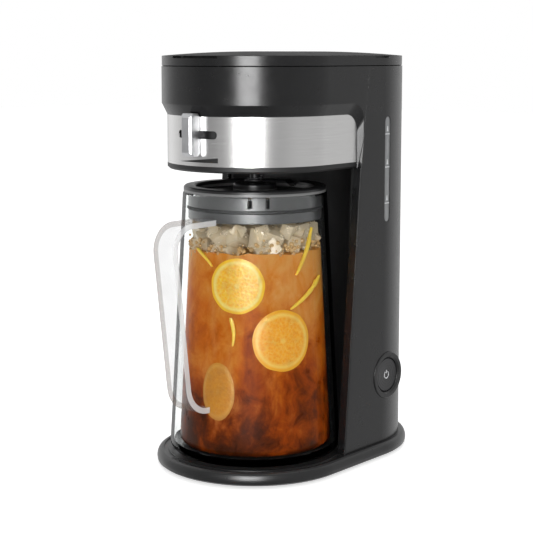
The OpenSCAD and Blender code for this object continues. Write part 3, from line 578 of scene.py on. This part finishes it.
# Nodes whose look differs from their slot's
OWN_MATERIAL = {
    "power_button": "button",
    "jug_handle": "handle",
    "jug_seal": "dark_seal",
    "drip_valve": "inner_black",
}


def dress_cad_nodes(materials):
    """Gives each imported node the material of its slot, or its own."""
    for part in frame["record"]["subparts"]:
        node = frame["nodes"][part["node"]]
        name = OWN_MATERIAL.get(part["node"], part["material_slot"])
        node.data.materials.clear()
        node.data.materials.append(materials[name])
        smooth_by_angle(node)


def smooth_by_angle(thing, angle=30):
    """Smooth shading, but for edges that turn by more than angle."""
    for face in thing.data.polygons:
        face.use_smooth = True
    thing.data.set_sharp_from_angle(angle=math.radians(angle))


def new_piece(name, mesh_builder, material, body):
    """Makes an object from a bmesh and lets it ride on a body."""
    mesh = bpy.data.meshes.new(name)
    bm = bmesh.new()
    mesh_builder(bm)
    bm.normal_update()
    bm.to_mesh(mesh)
    bm.free()
    piece = bpy.data.objects.new(name, mesh)
    bpy.context.scene.collection.objects.link(piece)
    mesh.materials.append(material)
    smooth_by_angle(piece, 40)
    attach(piece, body)


def turn_outwards(bm):
    bmesh.ops.recalc_face_normals(bm, faces=bm.faces)


def pairs_round(row):
    """Each item of a closed row with the one that follows it."""
    return list(zip(row, row[1:] + row[:1]))


def skin_rows(bm, rows):
    """Faces between closed rows of vertices, each row joined to the next."""
    for low, high in zip(rows, rows[1:]):
        for (a, b), (c, d) in zip(pairs_round(low), pairs_round(high)):
            bm.faces.new((a, b, d, c))


def revolve(bm, profile, steps):
    """Closed surface from [radius, z] points that start and end on the jug's axis."""
    rows = []
    for radius, z in profile[1:-1]:
        rows.append([bm.verts.new(around_jug(radius, 360 * i / steps, z)) for i in range(steps)])
    bottom = bm.verts.new(around_jug(0, 0, profile[0][1]))
    top = bm.verts.new(around_jug(0, 0, profile[-1][1]))
    skin_rows(bm, rows)
    for (a, b), (c, d) in zip(pairs_round(rows[0]), pairs_round(rows[-1])):
        bm.faces.new((bottom, b, a))
        bm.faces.new((top, c, d))
    return rows


def make_drink(material):
    """Body of the tea, rounded at its foot, with an uneven surface under the ice."""
    low = JUG_LOW + DRINK_FLOOR
    corner, corner_steps, wall_steps = 6 * MM, 6, 10
    wave, wave_size = 1.6 * MM, 9 * MM
    surface_rings = (0.9, 0.7, 0.45, 0.2)
    foot = drink_radius(low + corner)
    profile = [(0, low), (foot * 0.5, low)]
    for i in range(corner_steps + 1):
        a = math.pi / 2 * i / corner_steps
        profile.append((foot - corner + corner * math.sin(a), low + corner - corner * math.cos(a)))
    for i in range(1, wall_steps + 1):
        z = low + corner + (DRINK_TOP - low - corner) * i / wall_steps
        profile.append((drink_radius(z), z))
    top = drink_radius(DRINK_TOP)
    profile += [(top * share, DRINK_TOP) for share in surface_rings]
    profile.append((0, DRINK_TOP))

    def build(bm):
        rows = revolve(bm, profile, steps=128)
        for row in rows[-len(surface_rings) - 1:]:
            for v in row:
                v.co.z += wave * noise.noise(v.co / wave_size)
        turn_outwards(bm)

    new_piece("iced_tea", build, material, "jug_body")


def make_fruit(name, material, angle, z, radius, squeeze=1.0, tilt=0.0, proud=0.7 * MM):
    """Citrus slice that lies against the inside of the glass and follows its curve."""
    rings, steps, thick, edge_round, edge_sharpness = 9, 56, 2.6 * MM, 0.5 * MM, 8
    ragged, ragged_pitch, ragged_seed = 0.03, 90, 800
    turn = math.radians(tilt)

    def wrap(x, y, depth):
        spot = Vector((x * ragged_pitch, y * ragged_pitch, radius * ragged_seed))
        edge = 1 + ragged * noise.noise(spot)
        u = squeeze * (x * math.cos(turn) - y * math.sin(turn)) * edge
        v = (x * math.sin(turn) + y * math.cos(turn)) * edge
        place = drink_radius(z + v) + proud - depth
        return around_jug(place, angle + math.degrees(u / drink_radius(z)), z + v)

    def build(bm):
        layer = bm.loops.layers.uv.new("slice")
        edges = []
        for depth, inwards, flip in ((0.0, 1, False), (thick, -1, True)):
            middle = (bm.verts.new(wrap(0, 0, depth)), (0, 0))
            grid = []
            for k in range(1, rings + 1):
                share = k / rings
                drop = inwards * edge_round * share ** edge_sharpness
                row = []
                for i in range(steps):
                    a = 2 * math.pi * i / steps
                    x, y = share * math.cos(a), share * math.sin(a)
                    row.append((bm.verts.new(wrap(radius * x, radius * y, depth + drop)), (x, y)))
                grid.append(row)
            faces_between(bm, layer, middle, grid, flip)
            edges.append(pairs_round(grid[-1]))
        for (a, b), (c, d) in zip(*edges):
            add_face(bm, layer, (b, a, c, d))
        turn_outwards(bm)

    new_piece(name, build, material, "jug_body")


def add_face(bm, layer, corners):
    """Face from [vertex, uv] corners."""
    face = bm.faces.new([v for v, _ in corners])
    for loop, (_, uv) in zip(face.loops, corners):
        loop[layer].uv = uv


def faces_between(bm, layer, middle, grid, flip):
    """One side of a slice: a fan round its middle and rings out to its edge."""
    steps = len(grid[0])
    for i in range(steps):
        j = (i + 1) % steps
        fan = (middle, grid[0][i], grid[0][j])
        add_face(bm, layer, fan[::-1] if flip else fan)
        for low, high in zip(grid, grid[1:]):
            quad = (low[i], high[i], high[j], low[j])
            add_face(bm, layer, quad[::-1] if flip else quad)


def make_peel(name, material, ends, width):
    """Strip of peel from one [angle, z] place to another, bent a little on the way."""
    (a0, z0), (a1, z1) = ends
    steps, sway_most, proud, thick = 18, 1.6, 1.6 * MM, 1.2 * MM
    taper, tip, tip_sharpness = 0.45, 0.5, 6
    # Points of the strip's section: share of its half width, depth
    section = ((-1, 0), (-0.4, -0.4 * MM), (0.4, -0.4 * MM), (1, 0), (1, thick), (-1, thick))

    def build(bm):
        rows = []
        for i in range(steps + 1):
            t = i / steps
            sway = math.sin(math.pi * t) * sway_most
            half = width / 2 * (1 - taper * t) * (1 - tip * abs(2 * t - 1) ** tip_sharpness)
            angle, z = a0 + (a1 - a0) * t + sway, z0 + (z1 - z0) * t
            run = Vector((math.radians(a1 - a0) * drink_radius(z), z1 - z0)).normalized()
            side = Vector((-run.y, run.x))
            row = []
            for s, depth in section:
                shift = side * half * s
                radius = drink_radius(z) + proud - depth
                turn = angle + math.degrees(shift.x / drink_radius(z))
                row.append(bm.verts.new(around_jug(radius, turn, z + shift.y)))
            rows.append(row)
        skin_rows(bm, rows)
        bm.faces.new(rows[0][::-1])
        bm.faces.new(rows[-1])
        turn_outwards(bm)

    new_piece(name, build, material, "jug_body")


# Rings of crushed ice against the glass: height in mm, number of lumps, size in mm
ICE_RINGS = ((188, 17, 15), (196, 17, 14), (203, 15, 12))
ICE_MIDDLE_COUNT = 14


def make_ice(material):
    """Crushed ice that fills the jug from the drink up to the collar."""
    rng = random.Random(7)
    corner, ragged, ragged_pitch, ragged_seed = 0.16, 0.22, 1.6, 400
    collar_gap, wall_press, wall_share = 0.5 * MM, 2.2 * MM, 0.62
    middle_size = 17 * MM

    def chunk(bm, centre, size):
        """One rounded, uneven lump."""
        made = bmesh.ops.create_cube(bm, size=1)["verts"]
        edges = list({e for v in made for e in v.link_edges})
        cut = bmesh.ops.bevel(bm, geom=edges, offset=corner, segments=2, affect="EDGES", profile=0.6)
        verts = list({v for f in cut["faces"] for v in f.verts} | {v for v in made if v.is_valid})
        verts = [v for v in verts if v.is_valid]
        angle = rng.uniform(0, math.tau)
        turn = Matrix.Rotation(angle, 3, Vector([rng.uniform(-1, 1) for _ in range(3)]))
        stretch = [size * rng.uniform(0.75, 1.2) for _ in range(3)]
        for v in verts:
            bulge = 1 + ragged * noise.noise(v.co * ragged_pitch + centre * ragged_seed)
            local = Vector(c * s for c, s in zip(v.co * bulge, stretch))
            v.co = centre + turn @ local

    def keep_inside(v):
        """Presses a point under the collar and against the glass."""
        v.co.z = min(v.co.z, COLLAR_LOW - collar_gap)
        flat = Vector((v.co.x, v.co.y - AXIS_Y))
        most = drink_radius(v.co.z) + wall_press
        if flat.length > most:
            flat *= most / flat.length
            v.co.x, v.co.y = flat.x, flat.y + AXIS_Y

    def build(bm):
        for z, count, size in ICE_RINGS:
            for i in range(count):
                angle = 360 * (i + rng.uniform(-0.3, 0.3)) / count
                chunk_size = size * MM * rng.uniform(0.75, 1.1)
                reach = drink_radius(z * MM) - chunk_size * wall_share - rng.uniform(0, 3) * MM
                chunk(bm, around_jug(reach, angle, z * MM + rng.uniform(-2, 2) * MM), chunk_size)
        for i in range(ICE_MIDDLE_COUNT):
            turn = 360 * i / ICE_MIDDLE_COUNT
            inner = around_jug(rng.uniform(5, 28) * MM, turn, rng.uniform(189, 202) * MM)
            chunk(bm, inner, middle_size)
        for v in bm.verts:
            keep_inside(v)
        turn_outwards(bm)

    new_piece("crushed_ice", build, material, "jug_body")


def make_bubbles(material):
    """Bubbles that gather where the drink meets the ice, against the glass."""
    rng = random.Random(11)
    count, smallest, largest = 230, 0.7, 2.1
    below, above, most_at = -2.5, 12, 1

    def build(bm):
        for _ in range(count):
            size = rng.uniform(smallest, largest) * MM
            z = DRINK_TOP + rng.triangular(below, above, most_at) * MM
            reach = drink_radius(z) + rng.uniform(-1.5, 1.0) * MM - size
            where = around_jug(reach, rng.uniform(0, 360), z)
            spot = Matrix.Translation(where)
            bmesh.ops.create_icosphere(bm, subdivisions=2, radius=size, matrix=spot)

    new_piece("surface_bubbles", build, material, "jug_body")


def flat_mark(bm, points, put, thick):
    """Thin plate whose outline is given as [across, up] points; put maps them to places."""
    front = [bm.verts.new(put(x, y, thick)) for x, y in points]
    back = [bm.verts.new(put(x, y, 0)) for x, y in points]
    bm.faces.new(front)
    bm.faces.new(back[::-1])
    for (a, b), (c, d) in zip(pairs_round(front), pairs_round(back)):
        bm.faces.new((b, a, c, d))


def oblong(left, low, right, high):
    """Outline of a mark with level and upright edges."""
    return [(left, low), (right, low), (right, high), (left, high)]


def make_power_sign(material):
    """Open ring and bar on the power button."""
    ring, line, dish, sink = 3.1 * MM, 0.42 * MM, 0.36 * MM, 0.04 * MM
    ring_thick, bar_thick, bar_low, bar_high = 0.1 * MM, 0.14 * MM, 1.2 * MM, 4.1 * MM
    arc_start, arc_turn, arc_steps = -235, 290, 28

    def put(y, z, lift):
        return Vector((BUTTON_HIGH.x - dish - sink + lift, BUTTON_Y + y, BUTTON_Z + z))

    def build(bm):
        arc = [math.radians(arc_start + arc_turn * i / arc_steps) for i in range(arc_steps + 1)]
        for a, b in zip(arc, arc[1:]):
            corners = [(r * math.cos(t), r * math.sin(t)) for r, t in (
                (ring - line, a), (ring + line, a), (ring + line, b), (ring - line, b))]
            flat_mark(bm, corners, put, ring_thick)
        flat_mark(bm, oblong(-line, bar_low, line, bar_high), put, bar_thick)
        bmesh.ops.remove_doubles(bm, verts=bm.verts, dist=0.001 * MM)
        turn_outwards(bm)

    new_piece("power_sign", build, material, "button")


def make_level_marks(material):
    """Three level lines with plain pointers beside the window's middle."""
    levels = (219.1, 249.7, 277.6)
    half, line, thick, sink = 3.1 * MM, 0.45 * MM, 0.08 * MM, 0.02 * MM
    base, tip, foot, point = 2.2 * MM, 6.6 * MM, 1.3 * MM, 0.5 * MM

    def build(bm):
        for z in levels:
            def put(y, up, lift):
                return Vector((WINDOW_HIGH.x - sink + lift, WINDOW_Y + y, z * MM + up))

            flat_mark(bm, oblong(-half, -line, half, line), put, thick)
            flat_mark(bm, [(-foot, base), (foot, base), (point, tip), (-point, tip)], put, thick)
        turn_outwards(bm)

    new_piece("level_marks", build, material, "machine")


def make_strength_wedge(material):
    """Plain wedge printed on the steel band under the slot."""
    start, stop, steps = -14.2, 17.1, 20
    low, high = BAND_LOW + 3.1 * MM, BAND_LOW + 6.9 * MM
    thin_end, proud, sunk = 0.15 * MM, 0.05 * MM, -0.1 * MM

    def build(bm):
        rows = []
        for i in range(steps + 1):
            t = i / steps
            angle = start + (stop - start) * t
            rise = low + thin_end + (high - low) * t
            rows.append([bm.verts.new(around_jug(BAND_R + lift, angle, z)) for lift, z in (
                (proud, low), (proud, rise), (sunk, rise), (sunk, low))])
        for left, right in zip(rows, rows[1:]):
            for (a, b), (c, d) in zip(pairs_round(left), pairs_round(right)):
                bm.faces.new((a, c, d, b))
        bm.faces.new(rows[0])
        bm.faces.new(rows[-1][::-1])
        turn_outwards(bm)

    new_piece("strength_wedge", build, material, "machine")


def make_stage():
    """White floor that keeps the soft shadow under the object."""
    mesh = bpy.data.meshes.new("floor")
    reach = FLOOR_REACH
    corners = [(-reach, -reach, 0), (reach, -reach, 0), (reach, reach, 0), (-reach, reach, 0)]
    mesh.from_pydata(corners, [], [(0, 1, 2, 3)])
    floor = bpy.data.objects.new("floor", mesh)
    bpy.context.scene.collection.objects.link(floor)
    g = Graph("studio floor")
    g.set(Base_Color=(0.86, 0.86, 0.86), Roughness=0.8, Specular_IOR_Level=0.1,
          Emission_Color=(1.0, 1.0, 1.0))
    g.join(g.math("MULTIPLY", g.either_ray("Camera", "Transmission"), FLOOR_LIFT), "Emission Strength")
    mesh.materials.append(g.material)
    floor.visible_glossy = False


def make_world():
    """Studio round the object: white to the camera and through glass, soft panels in gloss."""
    world = bpy.data.worlds.new("studio")
    bpy.context.scene.world = world
    world.use_nodes = True
    world.node_tree.nodes.clear()
    g = Tree(world.node_tree)
    white = (1, 1, 1, 1)
    level = g.vector("MULTIPLY", g.add("TexCoord").outputs["Generated"], (1, 1, 0)).outputs[0]
    level = g.vector("NORMALIZE", level).outputs[0]
    total = WORLD_BASE
    for azimuth, full, faded, strength in PANELS:
        facing = g.vector("DOT_PRODUCT", level, camera_direction(azimuth)).outputs["Value"]
        glow = g.remap(facing, math.cos(math.radians(faded)), math.cos(math.radians(full)),
                       0.0, strength, "SMOOTHSTEP")
        total = g.math("ADD", total, glow)
    studio = g.add("Background", {"Color": white, "Strength": total}).outputs[0]
    plain = g.add("Background", {"Color": white, "Strength": 1.0}).outputs[0]
    mixed = g.add("MixShader", {0: g.either_ray("Camera", "Transmission"), 1: studio, 2: plain})
    g.links.new(mixed.outputs[0], g.add("OutputWorld").inputs["Surface"])


def area_light(name, azimuth, distance, height, width, tall, radiance, gloss=True, diffuse=True):
    """Soft box that faces the object; radiance 1 looks as bright as white. Lengths in metres."""
    data = bpy.data.lights.new(name, "AREA")
    data.shape = "RECTANGLE"
    data.size, data.size_y = width, tall
    data.energy = radiance * math.pi * width * tall
    light = bpy.data.objects.new(name, data)
    place = camera_direction(azimuth) * distance
    light.location = (place.x, place.y, height)
    towards = Vector((0, 0, LIGHT_AIM)) - light.location
    light.rotation_euler = towards.to_track_quat("-Z", "Y").to_euler()
    light.visible_glossy = gloss
    light.visible_diffuse = diffuse
    bpy.context.scene.collection.objects.link(light)


def make_lights():
    """A strip for the highlights, a narrower key for the tone of surfaces, a weak box overhead."""
    area_light("strip", azimuth=32.5, distance=2.4, height=0.9, width=1.1, tall=1.9, radiance=17,
               diffuse=False)
    area_light("key", azimuth=33, distance=2.4, height=0.9, width=0.42, tall=1.9, radiance=9,
               gloss=False)
    area_light("overhead", azimuth=200, distance=0.25, height=2.3, width=1.8, tall=1.8, radiance=0.9)


def make_camera():
    data = bpy.data.cameras.new("camera")
    data.lens = CAMERA_LENS
    data.sensor_width = CAMERA_SENSOR
    data.shift_y = -PICTURE_SHIFT / PICTURE
    camera = bpy.data.objects.new("camera", data)
    out = camera_direction(CAMERA_AZIMUTH)
    right = Vector((-out.y, out.x, 0))
    camera.location = out * CAMERA_AWAY + right * CAMERA_SIDE + Vector((0, 0, CAMERA_HEIGHT))
    pitch = math.radians(CAMERA_PITCH)
    forward = -out * math.cos(pitch) - Vector((0, 0, 1)) * math.sin(pitch)
    camera.rotation_mode = "QUATERNION"
    camera.rotation_quaternion = forward.to_track_quat("-Z", "Y")
    bpy.context.scene.collection.objects.link(camera)
    bpy.context.scene.camera = camera


def fill_jug():
    """Tea, fruit, peel, ice and bubbles. Places are [angle round the jug, height]."""
    make_drink(tea_material())
    lemon = fruit_material(
        "lemon slice", flesh=(1.0, 0.60, 0.02), deep_flesh=(0.96, 0.38, 0.002),
        pith=(1.0, 0.82, 0.26), rind=(0.98, 0.56, 0.02))
    orange = fruit_material(
        "orange slice", flesh=(0.95, 0.40, 0.008), deep_flesh=(0.90, 0.30, 0.004),
        pith=(0.98, 0.66, 0.14), rind=(0.92, 0.42, 0.015))
    # A darker copy of the lemon with more tea colour over it: painted shade for the slice low in the
    # jug
    shaded_lemon = fruit_material(
        "sunken slice", flesh=(0.80, 0.34, 0.008), deep_flesh=(0.70, 0.24, 0.005),
        pith=(0.80, 0.42, 0.06), rind=(0.70, 0.30, 0.02), sunk=0.35)
    make_fruit("lemon_slice_upper", lemon, angle=25.9, z=159.3 * MM, radius=22.5 * MM)
    make_fruit("orange_slice", orange, angle=62.7, z=114.7 * MM, radius=25.0 * MM, tilt=20)
    make_fruit("lemon_slice_low", shaded_lemon, angle=11.3, z=72.7 * MM, radius=24.5 * MM,
               squeeze=0.62, tilt=-12, proud=0.4 * MM)
    make_fruit("lemon_slice_back", lemon, angle=235, z=120 * MM, radius=24.0 * MM, tilt=50)
    make_fruit("orange_slice_back", orange, angle=150, z=60 * MM, radius=25.0 * MM,
               tilt=70, proud=0.4 * MM)
    peel = fruit_material(
        "peel", flesh=(0.97, 0.56, 0.01), deep_flesh=(0.95, 0.42, 0.005),
        pith=(0.98, 0.72, 0.1), rind=(0.97, 0.55, 0.01))
    make_peel("peel_strip_upper", peel, ends=((96, 204 * MM), (75.5, 167 * MM)), width=4.4 * MM)
    make_peel("peel_strip_right", peel, ends=((105, 163 * MM), (69.5, 140 * MM)), width=4.2 * MM)
    make_peel("peel_strip_left", peel, ends=((-14.5, 187 * MM), (4, 174 * MM)), width=2.8 * MM)
    make_peel("peel_strip_low", peel, ends=((21.5, 133.7 * MM), (23.5, 111 * MM)), width=3.4 * MM)
    make_ice(ice_material())
    make_bubbles(foam_material())


bpy.context.scene.view_settings.view_transform = "Standard"
make_camera()
make_world()
make_lights()
make_stage()
dress_cad_nodes(make_materials())
fill_jug()
make_power_sign(print_material("white sign", (0.85, 0.86, 0.88)))
make_level_marks(print_material("white level marks", (0.62, 0.63, 0.64)))
make_strength_wedge(print_material("black print", (0.006, 0.006, 0.006)))
